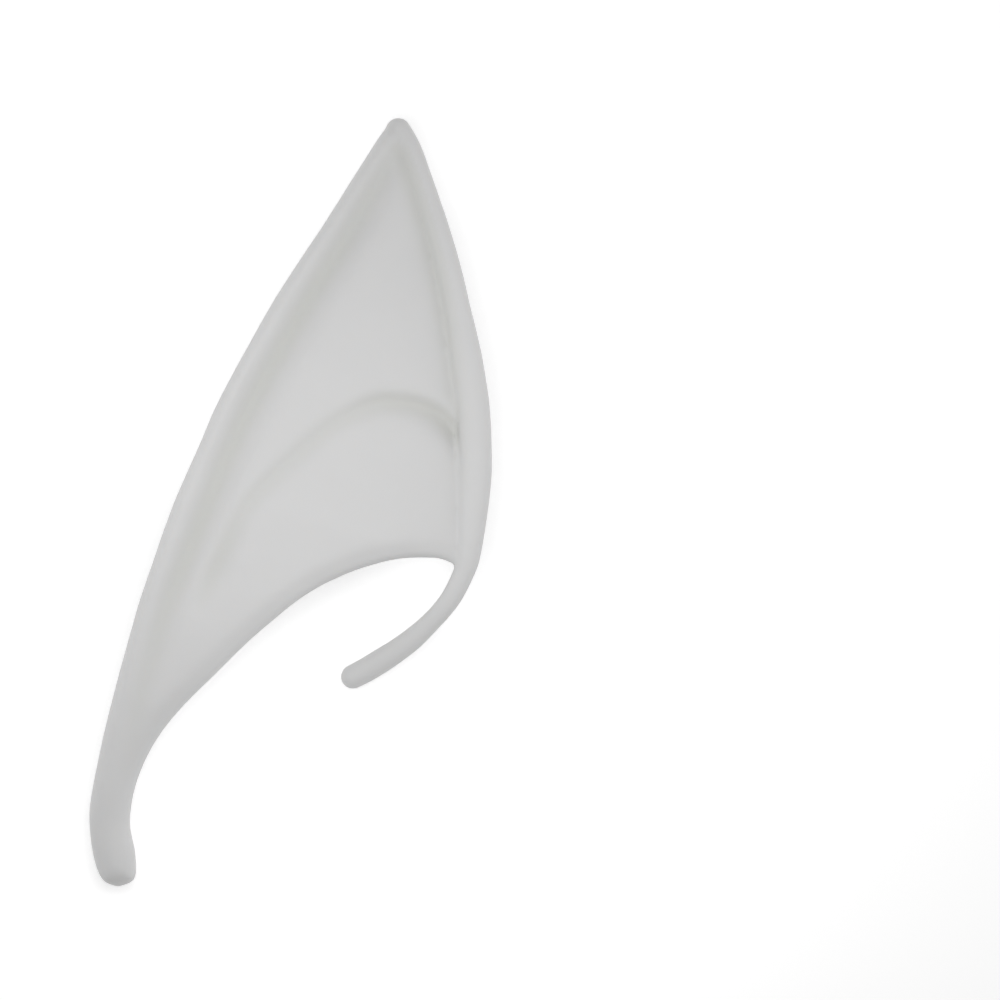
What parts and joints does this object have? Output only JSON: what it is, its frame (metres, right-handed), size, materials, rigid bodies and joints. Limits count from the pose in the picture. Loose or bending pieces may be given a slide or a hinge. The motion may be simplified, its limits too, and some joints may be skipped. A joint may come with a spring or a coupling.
{
  "type": "elf ear tip",
  "caption": "Pointed latex ear cover that slips over a wearer's right ear, with an open hollow back, a lobe arm and a free front strip.",
  "frame": {"origin": "middle of the footprint of the cover as it lies on its back, at the height of the surface it lies on", "axes": "+Y from the foot of the lobe arm to the point, +Z out of the ear's front face, +X towards the wearer's face"},
  "size_m": [0.0578, 0.1099, 0.0129],
  "materials": {
    "latex": "matte light grey-white latex"
  },
  "bodies": {
    "root": {"ear_shell": "latex"}
  },
  "joints": []
}
